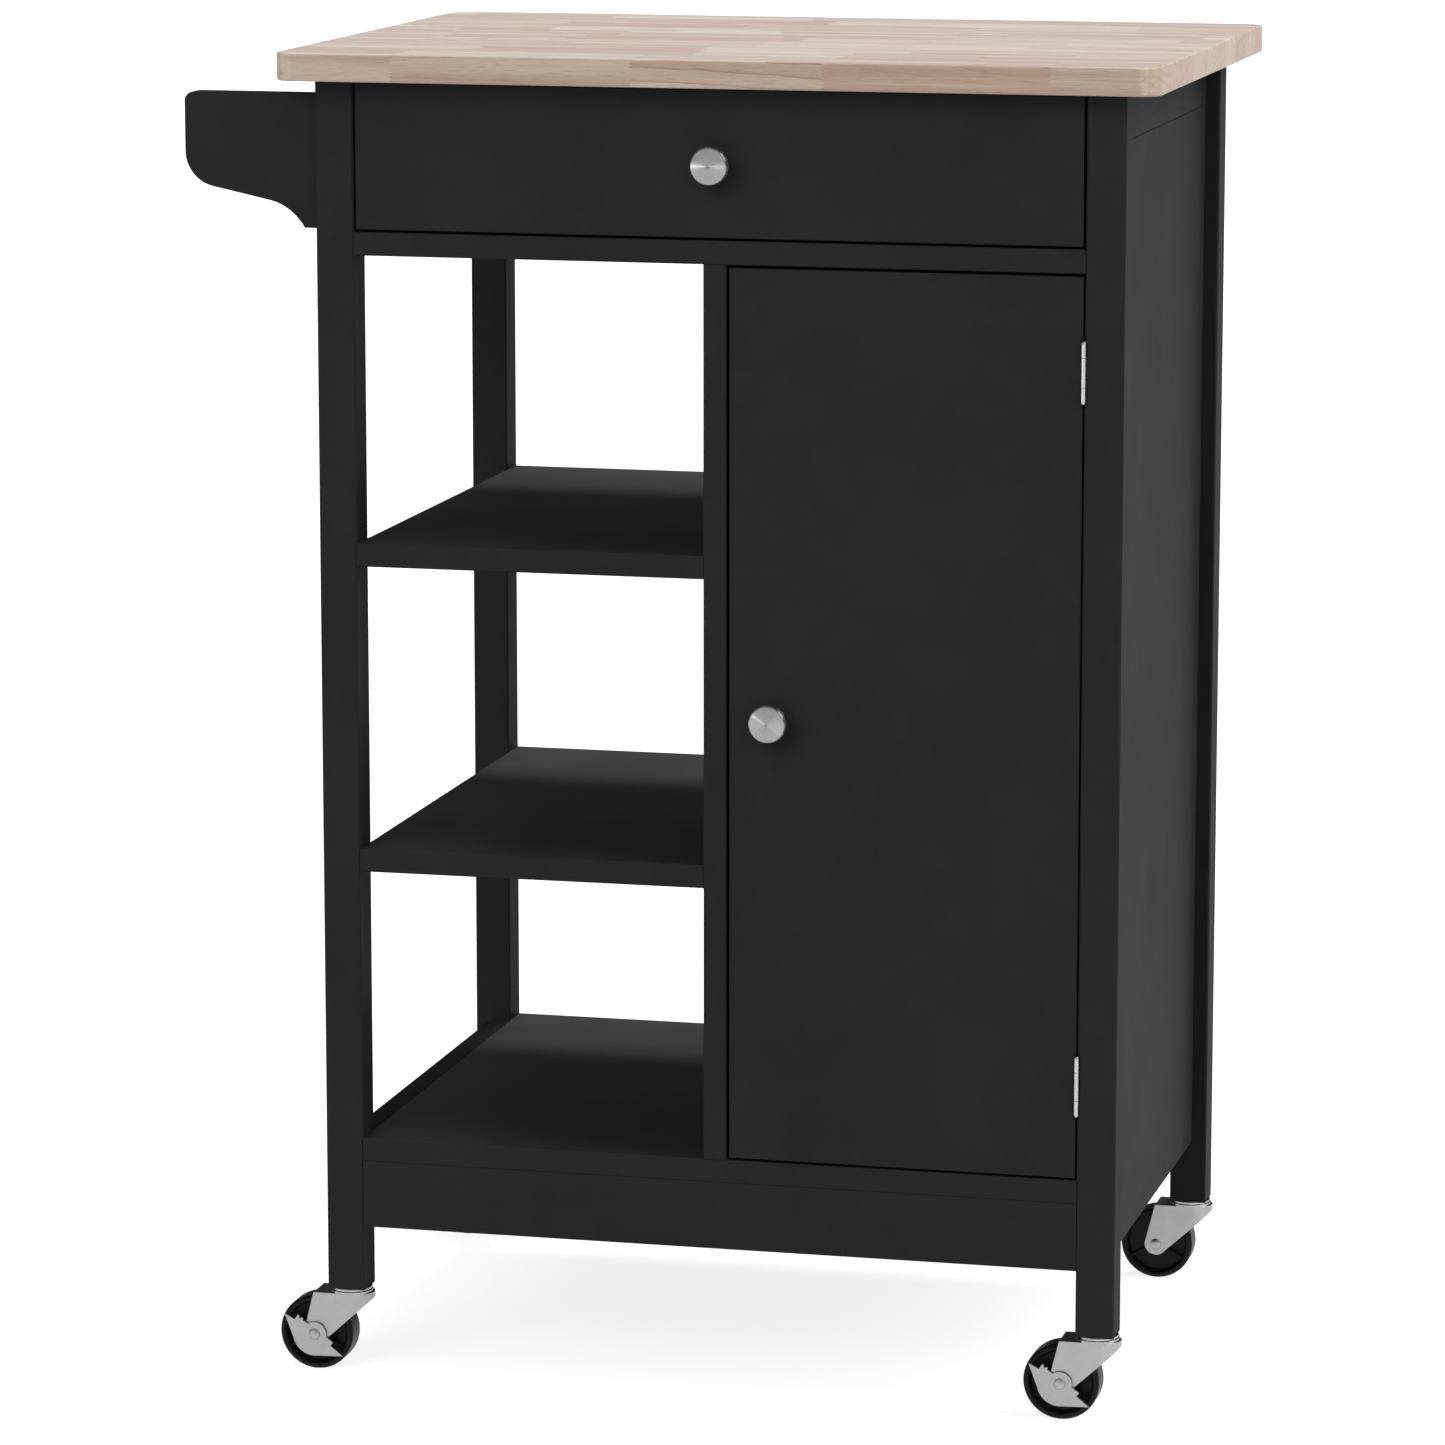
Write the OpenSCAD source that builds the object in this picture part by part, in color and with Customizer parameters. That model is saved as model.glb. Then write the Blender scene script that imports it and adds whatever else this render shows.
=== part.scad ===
// Kitchen island cart: a butcher block worktop on a painted frame with open shelves on the left,
// a cabinet with a hinged door on the right, one wide drawer, a towel bar and four swivel casters.
// The origin is on the floor under the middle of the cart; the front faces -Y.

/* [Frame] */
// Width of the frame, over the outer faces of the posts
frame_width = 526; // [440:1:760]
// Depth of the frame, over the front and rear faces of the posts
frame_depth = 384; // [320:1:560]
// Side of a square post
post_size = 25; // [23:0.5:34]
// Thickness of the boards, the door and the drawer front
board_thick = 15; // [13:0.5:18]
// Chamfer on the long edges of the posts
post_ease = 1; // [0.5:0.1:2]
// Chamfer on the long edges of the boards
board_ease = 0.5; // [0.3:0.1:1.2]
// Thickness of the back panel of the cabinet
back_thick = 4; // [3:0.5:6]
// Distance of the back panel from the rear of the posts
back_inset = 2; // [0:0.5:8]

/* [Heights] */
// Length of post below the aprons
leg_below_apron = 43.5; // [25:0.5:90]
// Height of the front and rear aprons
apron_height = 44.5; // [36:0.5:80]
// Clear height of the lowest open bay
lower_bay = 179; // [120:1:260]
// Clear height of the middle open bay
middle_bay = 186; // [120:1:260]
// Clear height of the upper open bay
upper_bay = 186.5; // [120:0.5:260]
// Clear height of the drawer bay
drawer_bay = 97; // [90:1:140]
// Height of the upper rail on the right side
side_rail_height = 34; // [24:1:60]

/* [Worktop] */
// Thickness of the worktop
worktop_thick = 18; // [16:0.5:32]
// Overhang of the worktop past the sides of the frame
side_overhang = 23; // [10:0.5:40]
// Overhang of the worktop past the front and the rear of the frame
front_overhang = 18.5; // [10:0.5:40]
// Radius of the corners of the worktop, seen from above
corner_radius = 14; // [5:0.5:25]
// Rounding of the upper and lower edges of the worktop
worktop_edge = 1.5; // [0.5:0.1:3]

/* [Dowels] */
// Diameter of a wooden dowel
dowel_d = 6; // [5:0.5:8]
// Length of a wooden dowel
dowel_length = 23; // [18:0.5:24]
// Play between a dowel and its bore, on the radius and at each end
dowel_fit = 0.05; // [0.02:0.01:0.1]
// Distance from the end of a joint to its outermost dowel
dowel_inset = 12; // [10:0.5:16]
// Length of a dowel in the drawer box
drawer_dowel_length = 18; // [14:0.5:20]

/* [Cabinet shelf] */
// Height of the cabinet shelf above the bottom board
cabinet_shelf_height = 270; // [150:5:330]
// Play at each side of the cabinet shelf
shelf_play = 0.5; // [0.3:0.1:1.5]
// Distance from the back of the door to the cabinet shelf
shelf_setback = 14; // [4:1:60]
// Diameter of the peg of a shelf support
support_peg_d = 5; // [4:0.5:6]
// Depth of the peg in its side
support_peg_depth = 9; // [6:0.5:11]
// Length and width of the plate of a shelf support
support_plate = 9; // [7:0.5:14]
// Thickness of the plate of a shelf support
support_plate_thick = 1.6; // [1:0.1:2]
// Distance from the shelf ends to the supports
support_inset = 50; // [30:1:90]

/* [Door] */
// Gap round the door at its top, bottom and free side
door_gap = 2; // [1.5:0.1:4]
// Gap between the door and its hinge post
hinge_gap = 1.2; // [1:0.1:2]
// Distance from the free side of the door to its knob
door_knob_inset = 28.5; // [20:0.5:60]

/* [Hinges] */
// Height of a hinge leaf
hinge_height = 37; // [30:1:60]
// Distance from the door ends to the hinge centres
hinge_inset = 60; // [40:1:110]
// Diameter of the knuckles
knuckle_d = 3.2; // [3:0.1:5]
// Distance of the hinge pin before the front of the door
pin_proud = 0.6; // [0.2:0.1:1.5]
// Diameter of the hinge pin
hinge_pin_d = 1.6; // [1.2:0.1:2]
// Thickness of a leaf
leaf_thick = 0.8; // [0.6:0.1:1.2]
// Width of a leaf, into the depth of the door
leaf_width = 12; // [10:0.5:13]
// Play round the knuckles, in the wood
knuckle_play = 0.6; // [0.3:0.1:1]
// Distance from the ends of a leaf to its screws
hinge_screw_inset = 5; // [4:0.5:7]
// Distance from the front of the door to the hinge screws
hinge_screw_setback = 7.5; // [5:0.5:8.5]
// Play of the pin in the knuckles, on the radius
pin_fit = 0.04; // [0.02:0.01:0.1]
// Play between neighbouring knuckles
knuckle_gap = 0.2; // [0.1:0.05:0.5]

/* [Screws] */
// Shank diameter of a hinge screw
hinge_screw_d = 2; // [1.5:0.1:2.5]
// Head diameter of a hinge screw
hinge_screw_head = 3.6; // [3:0.1:4.5]
// Length of a hinge screw
hinge_screw_length = 10; // [6:0.5:14]
// Shank diameter of a screw of the runners and the catch
small_screw_d = 3; // [2:0.5:3.5]
// Head diameter of a screw of the runners and the catch
small_screw_head = 5.6; // [4.5:0.1:6]
// Length of a screw of the runners and the catch
small_screw_length = 15; // [12:0.5:15]
// Shank diameter of a towel bracket screw
bracket_screw_d = 4; // [3:0.5:4.5]
// Head diameter of a towel bracket screw
bracket_screw_head = 8; // [6:0.5:9]
// Length of a towel bracket screw
bracket_screw_length = 42; // [36:1:48]
// Play between a screw and its bore, on the radius
screw_fit = 0.05; // [0.02:0.01:0.1]

/* [Knobs] */
// Diameter of a knob
knob_d = 24; // [18:0.5:32]
// Distance from the board to the face of a knob
knob_reach = 18.3; // [14:0.1:28]
// Thickness of the head of a knob
knob_head = 6.6; // [4:0.1:9]
// Rounding of the rim of a knob
knob_rim = 1.6; // [0.8:0.1:1.9]
// Rise of the domed face of a knob
knob_dome = 0.7; // [0.2:0.1:2]
// Diameter of the neck of a knob
knob_neck_d = 10; // [8:0.5:13]
// Diameter of the foot of a knob
knob_foot_d = 14; // [11:0.5:18]
// Thickness of the foot of a knob
knob_foot = 1.8; // [1:0.1:3]
// Diameter of the knob screw
knob_screw_d = 4; // [3:0.5:5]
// Depth of the knob screw in the knob
knob_screw_depth = 9; // [5:0.5:12]

/* [Catch] */
// Length of the magnetic catch between its lugs
catch_length = 28; // [20:1:50]
// Length of each lug of the magnetic catch
catch_lug = 9; // [8:0.5:14]
// Thickness of the lugs of the magnetic catch
catch_lug_thick = 3; // [2:0.5:4]
// Depth of the magnetic catch, from front to back
catch_depth = 14; // [10:1:20]
// Height of the magnetic catch
catch_height = 12; // [9:1:16]
// Distance from the free side of the door to the catch
catch_inset = 14; // [8:1:60]
// Thickness of the steel strike on the door
strike_thick = 1.2; // [0.8:0.1:2]
// Height of the strike
strike_height = 9; // [7:0.5:10]
// Gap between the strike and the magnet
catch_gap = 0.3; // [0.2:0.05:0.6]

/* [Drawer] */
// Gap round the drawer front
drawer_gap = 1.8; // [1.2:0.1:3]
// Room between the drawer box and the rear rail
drawer_rear_room = 24; // [14:1:120]
// Thickness of the drawer sides and back
drawer_side_thick = 12; // [10:0.5:15]
// Height of the drawer sides
drawer_side_height = 78; // [70:1:84]
// Height of the drawer sides above the bay floor
drawer_side_lift = 5; // [3:0.5:8]
// Thickness of the drawer bottom
drawer_bottom_thick = 4; // [3:0.5:6]
// Height of the drawer bottom above the lower edge of the sides
drawer_bottom_lift = 8; // [6:0.5:12]
// Depth of the grooves that hold the drawer bottom
groove_depth = 5; // [3:0.5:6]
// Play of the drawer bottom above itself, in its grooves
groove_play = 0.1; // [0.05:0.05:0.3]
// Play of the drawer bottom at the end of its grooves
groove_end_play = 0.5; // [0.2:0.1:1]
// Height of a drawer runner
runner_height = 9; // [7:0.5:12]
// Width of a drawer runner
runner_width = 6.5; // [5:0.1:7]
// Height of the drawer runners above the bay floor
runner_lift = 48; // [36:1:52]
// Distance from the front posts to the drawer runners
runner_setback = 10; // [4:1:30]
// Distance from the ends of a runner to its screws
runner_screw_inset = 40; // [20:1:60]
// Distance from the drawer runners to the rear posts
runner_rear_gap = 4; // [3:0.5:90]
// Play between a runner and the groove of its drawer side
runner_play = 0.3; // [0.2:0.05:0.6]

/* [Towel bar] */
// Reach of the towel brackets, from the posts
bracket_reach = 89; // [70:1:120]
// Height of the towel brackets
bracket_height = 86; // [80:1:92]
// Thickness of the towel brackets
bracket_thick = 15; // [12:0.5:20]
// Distance from the worktop to the towel brackets
bracket_drop = 9.5; // [2:0.5:11]
// Radius of the upper outer corner of a bracket
bracket_top_radius = 6; // [3:0.5:12]
// Radius of the lower outer corner of a bracket
bracket_nose_radius = 23; // [18:0.5:26]
// Height of the straight outer end of a bracket, with its upper corner
bracket_nose_height = 38; // [30:0.5:42]
// Slope of the lower edge of a bracket
bracket_slope = 12; // [6:0.5:16]
// Radius of the hollow under a bracket, by the post
bracket_cove_radius = 36; // [28:1:40]
// Distance from the post to where the hollow of a bracket begins
bracket_cove_start = 33; // [28:0.5:40]
// Diameter of the towel bar
bar_d = 16; // [12:0.5:20]
// Distance from the posts to the middle of the towel bar
bar_reach = 62; // [50:1:64]
// Distance from the top of a bracket to the middle of the bar
bar_drop = 32; // [24:1:38]
// Depth of the towel bar in each bracket
bar_depth = 9; // [6:0.5:11]
// Wall of the tube of the towel bar
bar_wall = 1.2; // [0.8:0.1:2]
// Play of the bar in its brackets, on the radius
bar_fit = 0.05; // [0.02:0.01:0.1]
// Distance from the top of a bracket to its upper screw
bracket_screw_drop = 22; // [18:0.5:28]
// Distance between the two screws of a bracket
bracket_screw_pitch = 40; // [30:0.5:46]

/* [Casters] */
// Diameter of a wheel
wheel_d = 50; // [40:1:60]
// Width of a wheel at its tread
wheel_width = 19; // [15:0.5:24]
// Rounding of the shoulders of a wheel
wheel_shoulder = 2.5; // [1:0.1:4]
// Thickness of the rim of a wheel
rim_thick = 3.5; // [2.5:0.1:5]
// Depth of the hollow in each side of a wheel
wheel_hollow = 4.5; // [2:0.5:6]
// Diameter of the hub of a wheel
hub_d = 14; // [12:0.5:17]
// Width of a spoke rib of a wheel
rib_width = 1.4; // [1:0.1:3]
// Distance of the ribs below the faces of the rim
rib_inset = 1; // [0.4:0.1:1.8]
// Diameter of an axle
axle_d = 5; // [4:0.5:6]
// Play of an axle in its wheel, on the radius
axle_fit = 0.05; // [0.02:0.01:0.1]
// Diameter of the head of an axle
axle_head_d = 7.6; // [7:0.2:10]
// Height of the domed head of an axle
axle_head = 1.2; // [0.8:0.1:2.5]
// Distance from the swivel axis to the axle
caster_trail = 22; // [16:0.5:28]
// Play between the hub and each cheek of the fork
hub_play = 0.3; // [0.2:0.05:0.6]
// Play between the tread and each cheek of the fork
tread_play = 1; // [0.6:0.1:2]
// Play between the wheel and the plate of the fork
wheel_headroom = 1.4; // [1:0.1:4]
// Thickness of the steel of a fork
fork_sheet = 1.6; // [1.2:0.1:2.5]
// Radius of the lobe of a fork round the axle
fork_lobe = 7.8; // [7:0.1:9]
// Distance from the swivel axis to the nose of a fork
fork_nose = 15.7; // [15.3:0.2:24]
// Distance from the axle to the rear end of a fork plate
fork_tail = 0.9; // [0:0.1:6]
// Height of the skirt at the nose of a fork
fork_skirt = 3; // [2:0.5:8]
// Diameter of the swivel race on a fork
race_d = 28.5; // [22:0.5:30]
// How much narrower the upper half of a race is than the lower
race_step = 1; // [0.5:0.5:3]
// Height of each half of a swivel race
race_height = 1.65; // [1.2:0.05:2.5]
// Gap between the halves of a swivel race
race_gap = 0.2; // [0.1:0.05:0.4]
// Diameter of a caster stem
stem_d = 8; // [6:0.5:10]
// Length of a stem in its post
stem_length = 32; // [20:1:38]
// Play of a stem in its fork, on the radius
stem_fit = 0.05; // [0.02:0.01:0.1]
// Diameter of the riveted end of a stem
stem_head_d = 14; // [12:0.5:16]
// Thickness of the riveted end of a stem
stem_head = 1.6; // [1:0.1:2.5]

/* [Brakes] */
// Thickness of a brake plate
brake_sheet = 1.5; // [1:0.1:2]
// Gap between a brake plate and its fork
brake_gap = 0.3; // [0.2:0.05:0.6]
// Gap between a brake plate and the head of its axle
brake_play = 0.1; // [0.05:0.05:0.3]
// Distance from the axle to the tips of a brake plate
brake_reach = 24; // [20:0.2:24.5]
// Slope of a brake plate
brake_slope = 34; // [30:1:40]
// How far the tips of a brake plate lie below its axle, across the slope
brake_drop = 0.9; // [0.2:0.1:2]
// How far the middle of the upper edge of a brake plate lies above its axle, across the slope
brake_edge = 3; // [2:0.1:4]
// Radius of the belly of a brake plate round the axle
brake_belly = 14.8; // [12:0.2:17]
// Radius of the eye of a brake plate round the axle
brake_eye = 8; // [6.5:0.1:8.5]
// Distance from the axle to the notch on the left of a brake plate
brake_notch_left = 16.4; // [14:0.2:17]
// Distance from the axle to the notch on the right of a brake plate
brake_notch_right = 13.4; // [12:0.2:17]
// Height of the two small teeth on a brake plate
brake_tooth = 1.1; // [0.6:0.1:1.5]
// Width of the two small teeth on a brake plate, and of the gap between them
brake_tooth_width = 1.5; // [0.8:0.1:1.6]
// Gap between the folded tabs of a brake plate and the tread
brake_tab_play = 0.5; // [0.3:0.1:1.4]
// Distance from the tips of a brake plate to its tabs
brake_tab_inset = 2; // [2:0.1:3]
// Distance from the notches of a brake plate to its tabs
brake_tab_relief = 0.3; // [0.2:0.1:0.6]

/* [Hidden] */
$fn = 48;
cut = 1;              // overshoot of a cutting body past the surface that it opens

paint = [0.16, 0.16, 0.165];
rubberwood = [0.82, 0.74, 0.66];
pale_wood = [0.86, 0.78, 0.66];
nickel = [0.72, 0.71, 0.69];
steel = [0.66, 0.67, 0.68];
black_plastic = [0.07, 0.07, 0.07];

// Planes of the frame. The frame stands right of the middle, so that the origin is central
// under the whole cart with its towel bar.
left = (bracket_reach - side_overhang) / 2 - frame_width / 2;
right = left + frame_width;
front = -frame_depth / 2;
rear = frame_depth / 2;
inner_left = left + post_size;
inner_right = right - post_size;
inner_front = front + post_size;
inner_rear = rear - post_size;
post_mid = post_size / 2;
board_mid = board_thick / 2;

// Heights
wheel_radius = wheel_d / 2;
fork_rise = wheel_radius + wheel_headroom + fork_sheet;
caster_height = wheel_radius + fork_rise + 2 * race_height + race_gap;
apron_bottom = caster_height + leg_below_apron;
board_bottom = apron_bottom + apron_height;
board_top = board_bottom + board_thick;
lower_shelf_bottom = board_top + lower_bay;
upper_shelf_bottom = lower_shelf_bottom + board_thick + middle_bay;
floor_bottom = upper_shelf_bottom + board_thick + upper_bay;
floor_top = floor_bottom + board_thick;
frame_top = floor_top + drawer_bay;
side_seam = frame_top - side_rail_height;

// Divider
divider_left = (inner_left + inner_right - board_thick) / 2;
divider_right = divider_left + board_thick;

// Door
door_low = [divider_right + door_gap, front, board_top + door_gap];
door_high = [inner_right - hinge_gap, front + board_thick, floor_bottom - door_gap];
door_knob_at = [door_low.x + door_knob_inset, front, (door_low.z + door_high.z) / 2];
pin_x = inner_right - hinge_gap / 2;
pin_y = front - pin_proud;
hinge_heights = [door_low.z + hinge_inset, door_high.z - hinge_inset];
knuckle_end = hinge_height / 4;
hinge_screw_rows = [hinge_screw_inset - hinge_height / 2, hinge_height / 2 - hinge_screw_inset];
catch_left = door_low.x + catch_inset;

// Drawer
drawer_front_low = [inner_left + drawer_gap, front, floor_top + drawer_gap];
drawer_front_high = [inner_right - drawer_gap, front + board_thick, frame_top - drawer_gap];
drawer_length = frame_depth - 2 * board_thick - drawer_rear_room;
drawer_back_y = front + board_thick + drawer_length;
drawer_side_bottom = floor_top + drawer_side_lift;
drawer_side_top = drawer_side_bottom + drawer_side_height;
drawer_floor = drawer_side_bottom + drawer_bottom_lift;
drawer_knob_at = [(inner_left + inner_right) / 2, front, (drawer_front_low.z + drawer_front_high.z) / 2];
runner_front = inner_front + runner_setback;
runner_length = inner_rear - runner_rear_gap - runner_front;
runner_z = floor_top + runner_lift;
runner_cut = runner_width - drawer_gap + runner_play;

// Towel bar
bracket_top = frame_top - bracket_drop;
bracket_bottom = bracket_top - bracket_height;
bar_x = left - bar_reach;
bar_z = bracket_top - bar_drop;
bracket_y = [front + (post_size - bracket_thick) / 2, rear - (post_size + bracket_thick) / 2];
bracket_screw_drops = [bracket_screw_drop, bracket_screw_drop + bracket_screw_pitch];

// Casters: front left, front right, rear left, rear right
swivels = [for (y = [front + post_mid, rear - post_mid], x = [left + post_mid, right - post_mid]) [x, y]];
cheek_inner = wheel_width / 2 + tread_play;
cheek_outer = cheek_inner + fork_sheet;
lobe_ease = 0.1; // depth at which straight edges end inside a lobe or belly
brake_tab = brake_gap + fork_sheet + tread_play - brake_tab_play;
hub_width = 2 * (cheek_inner - hub_play);

// Centres of the dowels along X, along Y and along Z, each on the joint that it crosses
post_rows = [front + post_mid, rear - post_mid];
plate_rows = [front + board_mid, rear - board_mid];
panel_x = inner_left - board_mid;
panel_x_right = inner_right + board_mid;
post_cols = [inner_left, inner_right];
dowels_x = concat(
    [for (x = post_cols, y = post_rows, z = [board_bottom, floor_bottom]) [x, y, z + board_mid]],
    [for (x = [inner_left, divider_left], y = post_rows, z = [lower_shelf_bottom, upper_shelf_bottom])
        [x, y, z + board_mid]],
    [for (x = post_cols, y = plate_rows) [x, y, apron_bottom + apron_height / 2]],
    [for (x = post_cols, z = [floor_top + dowel_inset, frame_top - dowel_inset]) [x, rear - board_mid, z]]);
rail_ends = [inner_front, inner_rear];
panel_mid = (apron_bottom + side_seam) / 2;
dowels_y = concat(
    [for (y = rail_ends, z = [apron_bottom + dowel_inset, board_bottom - dowel_d]) [panel_x, y, z]],
    [for (y = rail_ends, z = [floor_top + dowel_d, frame_top - dowel_inset]) [panel_x, y, z]],
    [for (y = rail_ends, z = [apron_bottom + dowel_inset, panel_mid, side_seam - dowel_inset])
        [panel_x_right, y, z]],
    [for (y = rail_ends) [panel_x_right, y, frame_top - side_rail_height / 2]]);
quarter_rows = [front / 2, rear / 2];
dowels_z = concat(
    [for (y = quarter_rows, z = [board_top, floor_bottom]) [divider_left + board_mid, y, z]],
    [for (x = [panel_x, panel_x_right], y = quarter_rows) [x, y, frame_top]],
    [for (x = [left + frame_width / 4, right - frame_width / 4]) [x, rear - board_mid, frame_top]]);
frame_dowel_sets = [dowels_x, dowels_y, dowels_z];
drawer_rows = [drawer_floor + drawer_bottom_thick + dowel_inset, drawer_side_top - dowel_inset];
drawer_side_mids = [drawer_front_low.x + drawer_side_thick / 2, drawer_front_high.x - drawer_side_thick / 2];

// ---------------------------------------------------------------- shared shapes

// Outline of a board's section, a by b, with eased corners
function eased_outline(a, b, ease) = [[ease, 0], [a - ease, 0], [a, ease], [a, b - ease],
    [a - ease, b], [ease, b], [0, b - ease], [0, ease]];

// A box from low to high with its edges eased along X (0), Y (1) or Z (2)
module eased_box(low, high, along, ease = board_ease) {
    size = high - low;
    translate(low) {
        if (along == 0)
            rotate([90, 0, 90]) linear_extrude(size.x) polygon(eased_outline(size.y, size.z, ease));
        if (along == 1)
            translate([0, size.y, 0]) rotate([90, 0, 0]) linear_extrude(size.y)
                polygon(eased_outline(size.x, size.z, ease));
        if (along == 2)
            linear_extrude(size.z) polygon(eased_outline(size.x, size.y, ease));
    }
}

function reaches(c, low, high) = c.x >= low.x - 0.1 && c.x <= high.x + 0.1 && c.y >= low.y - 0.1
    && c.y <= high.y + 0.1 && c.z >= low.z - 0.1 && c.z <= high.z + 0.1;

// Turns a body along Z to lie along X (0), Y (1) or Z (2)
module lay(along) {
    rotate(along == 0 ? [0, 90, 0] : along == 1 ? [-90, 0, 0] : [0, 0, 0]) children();
}

module dowel(at, along, length, play) {
    translate(at) lay(along) cylinder(d = dowel_d + 2 * play, h = length + 2 * play, center = true);
}

// A frame board with the dowel bores that reach it
module frame_board(low, high, along, ease = board_ease) {
    difference() {
        eased_box(low, high, along, ease);
        for (axis = [0:2], at = frame_dowel_sets[axis])
            if (reaches(at, low, high)) dowel(at, axis, dowel_length, dowel_fit);
    }
}

// Countersunk screw from its head at the origin along +Z
module screw(d, head_d, length, play) {
    sink = (head_d - d) / 2;
    cylinder(d1 = head_d + 2 * play, d2 = d + 2 * play, h = sink);
    cylinder(d = d + 2 * play, h = length);
}

// ---------------------------------------------------------------- worktop

// Section of the worktop edge, from a line inside it out to its face
module edge_section(reach) {
    square([reach - worktop_edge, worktop_thick]);
    translate([0, worktop_edge]) square([reach, worktop_thick - 2 * worktop_edge]);
    for (y = [worktop_edge, worktop_thick - worktop_edge])
        translate([reach - worktop_edge, y]) circle(worktop_edge);
}

module worktop() {
    half_width = frame_width / 2 + side_overhang - corner_radius;
    half_depth = frame_depth / 2 + front_overhang - corner_radius;
    color(rubberwood) difference() {
        translate([(left + right) / 2, 0, frame_top]) {
            translate([-half_width, -half_depth, 0]) cube([2 * half_width, 2 * half_depth, worktop_thick]);
            for (turn = [0, 180]) rotate(turn) {
                translate([-half_width, half_depth, 0]) rotate([90, 0, 90])
                    linear_extrude(2 * half_width) edge_section(corner_radius);
                translate([half_width, half_depth, 0]) rotate([90, 0, 0])
                    linear_extrude(2 * half_depth) edge_section(corner_radius);
                translate([half_width, half_depth, 0]) rotate_extrude(angle = 90) edge_section(corner_radius);
                translate([-half_width, half_depth, 0]) rotate(90)
                    rotate_extrude(angle = 90) edge_section(corner_radius);
            }
        }
        for (at = dowels_z) if (reaches(at, [left, front, frame_top], [right, rear, frame_top]))
            dowel(at, 2, dowel_length, dowel_fit);
    }
}

// ---------------------------------------------------------------- frame

// A post with its bores: dowels, caster stem, and the bracket screws on the left
module post(x, y) {
    color(paint) difference() {
        frame_board([x, y, caster_height], [x + post_size, y + post_size, frame_top], 2, post_ease);
        translate([x + post_mid, y + post_mid, caster_height - cut])
            cylinder(d = stem_d + 2 * stem_fit, h = stem_length + cut + stem_fit);
        bracket_screw_set(screw_fit);
        hinge_cuts();
        for (z = hinge_heights) hinge_screw_row(z, 1, screw_fit);
    }
}

module post_front_left() { post(left, front); }
module post_front_right() { post(inner_right, front); }
module post_rear_left() { post(left, inner_rear); }
module post_rear_right() { post(inner_right, inner_rear); }

module apron_front() {
    color(paint) frame_board([inner_left, front, apron_bottom],
        [inner_right, front + board_thick, board_bottom], 0);
}

module apron_rear() {
    color(paint) frame_board([inner_left, rear - board_thick, apron_bottom],
        [inner_right, rear, board_bottom], 0);
}

module rail_lower_left() {
    color(paint) frame_board([inner_left - board_thick, inner_front, apron_bottom],
        [inner_left, inner_rear, board_top], 1);
}

module rail_upper_left() {
    color(paint) difference() {
        frame_board([inner_left - board_thick, inner_front, floor_bottom],
            [inner_left, inner_rear, frame_top], 1);
        small_screw_set(screw_fit);
    }
}

module rail_upper_right() {
    color(paint) frame_board([inner_right, inner_front, side_seam],
        [inner_right + board_thick, inner_rear, frame_top], 1);
}

module rail_rear() {
    color(paint) frame_board([inner_left, rear - board_thick, floor_top], [inner_right, rear, frame_top], 0);
}

module side_panel_right() {
    color(paint) difference() {
        frame_board([inner_right, inner_front, apron_bottom],
            [inner_right + board_thick, inner_rear, side_seam], 2);
        small_screw_set(screw_fit);
        shelf_support_set(dowel_fit);
    }
}

module bay_floor() {
    color(paint) difference() {
        frame_board([inner_left, front, floor_bottom], [inner_right, rear, floor_top], 0);
        small_screw_set(screw_fit);
    }
}

module bottom_board() {
    color(paint) frame_board([inner_left, front, board_bottom], [inner_right, rear, board_top], 0);
}

module divider() {
    color(paint) difference() {
        frame_board([divider_left, front, board_top], [divider_right, rear, floor_bottom], 2);
        shelf_support_set(dowel_fit);
    }
}

module shelf_upper() {
    color(paint) frame_board([inner_left, front, upper_shelf_bottom],
        [divider_left, rear, upper_shelf_bottom + board_thick], 0);
}

module shelf_lower() {
    color(paint) frame_board([inner_left, front, lower_shelf_bottom],
        [divider_left, rear, lower_shelf_bottom + board_thick], 0);
}

module back_panel() {
    color(paint) translate([divider_right, rear - back_inset - back_thick, board_top])
        cube([inner_right - divider_right, back_thick, floor_bottom - board_top]);
}

module frame_dowels() {
    color(pale_wood) for (axis = [0:2], at = frame_dowel_sets[axis]) dowel(at, axis, dowel_length, 0);
}

// ---------------------------------------------------------------- cabinet shelf

shelf_front = front + board_thick + shelf_setback;
shelf_rear = rear - back_inset - back_thick - shelf_play;
shelf_z = board_top + cabinet_shelf_height;

module cabinet_shelf() {
    color(paint) eased_box([divider_right + shelf_play, shelf_front, shelf_z],
        [inner_right - shelf_play, shelf_rear, shelf_z + board_thick], 0);
}

// Four supports: a peg in the side and a plate under the shelf
module shelf_support_set(play) {
    for (y = [shelf_front + support_inset, shelf_rear - support_inset], right_side = [false, true]) {
        side = right_side ? inner_right : divider_right;
        translate([side, y, shelf_z - support_plate_thick]) rotate(right_side ? 180 : 0) {
            translate([-support_peg_depth - play, 0, -support_peg_d / 2]) lay(0)
                cylinder(d = support_peg_d + 2 * play, h = support_peg_depth + play + support_plate_thick);
            translate([0, -support_plate / 2, -support_plate])
                cube([support_plate_thick, support_plate, support_plate]);
            translate([0, -support_plate / 2, 0]) cube([support_plate, support_plate, support_plate_thick]);
        }
    }
}

module shelf_supports() { color(steel) shelf_support_set(0); }

// ---------------------------------------------------------------- towel bar

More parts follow.
